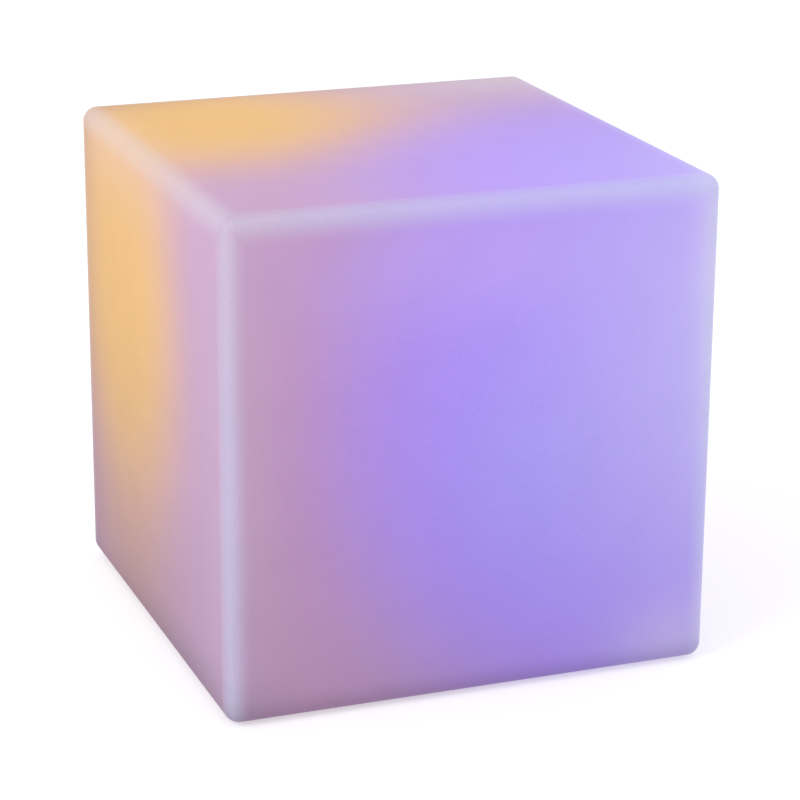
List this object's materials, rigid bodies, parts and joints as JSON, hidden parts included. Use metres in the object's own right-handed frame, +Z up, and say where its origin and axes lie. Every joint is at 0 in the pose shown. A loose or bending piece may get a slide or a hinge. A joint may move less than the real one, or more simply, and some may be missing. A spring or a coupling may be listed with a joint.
{
  "type": "led cube light",
  "caption": "Hollow glowing cube with rounded edges, lit by a rechargeable light module sealed into its base; a garden lamp that doubles as a low seat.",
  "frame": {"origin": "on the floor, under the middle of the cube", "axes": "+Z up, front face looks along -Y, +X to the right of a viewer at the front"},
  "size_m": [0.4, 0.4, 0.4],
  "materials": {
    "shell": "milky moulded polyethylene, satin with a very fine orange peel",
    "foot_rubber": "matt dark grey rubber",
    "brass": "turned brass",
    "silicone": "matt pale grey silicone",
    "steel": "stainless steel screw",
    "module_plastic": "fine-grained white ABS",
    "button": "soft-touch dark grey",
    "plug_silicone": "matt dark grey silicone",
    "black_plastic": "moulded black plastic",
    "tinned": "tinned metal",
    "clear_plastic": "clear light pipe",
    "board_green": "solder mask green",
    "connector": "natural nylon",
    "cell_wrap": "blue shrink sleeve",
    "aluminium": "brushed aluminium",
    "pad": "grey-blue thermal pad",
    "white_board": "white solder mask",
    "lamp": "lamp package with a yellowish clear window",
    "dome": "frosted diffuser",
    "wire": "insulated wire"
  },
  "bodies": {
    "cube": {"shell": "shell", "feet": "foot_rubber", "shell_inserts": "brass", "flange_gasket": "silicone", "flange_screws": "steel", "module_housing": "module_plastic", "button_seal": "silicone", "tact_switch": "black_plastic", "charge_socket": "black_plastic", "socket_pin": "tinned", "socket_gasket": "silicone", "plug_anchor": "plug_silicone", "status_lens": "clear_plastic", "status_led": "lamp", "control_board": "board_green", "board_screws": "steel", "controller_chip": "black_plastic", "driver_transistors": "black_plastic", "capacitors": "tinned", "power_inductor": "black_plastic", "radio_module": "board_green", "battery_connector": "connector", "led_connector": "connector", "battery_cells": "cell_wrap", "battery_cradle": "black_plastic", "cell_strips": "tinned", "battery_clamp": "black_plastic", "heat_plate": "aluminium", "thermal_pad": "pad", "led_board": "white_board", "rgb_leds": "lamp", "white_leds": "lamp", "lens_seal": "silicone", "lens_dome": "dome", "lens_ring": "module_plastic", "lens_screws": "steel", "battery_leads": "wire", "led_leads": "wire"},
    "power_button": {"power_button": "button", "switch_plunger": "black_plastic"},
    "port_plug": {"port_plug": "plug_silicone"}
  },
  "joints": [
    {"name": "power_button_press", "type": "slide", "parent": "cube", "child": "power_button", "axis": [0, 0, 1], "range_m": [0, 0.001], "stiffness_N_per_m": 1500, "springref_m": -0.0003},
    {"name": "port_plug_swing", "type": "hinge", "parent": "cube", "child": "port_plug", "pos_m": [0.024, -0.02, 0.0128], "axis": [0, -1, 0], "range_deg": [0, 120]}
  ]
}
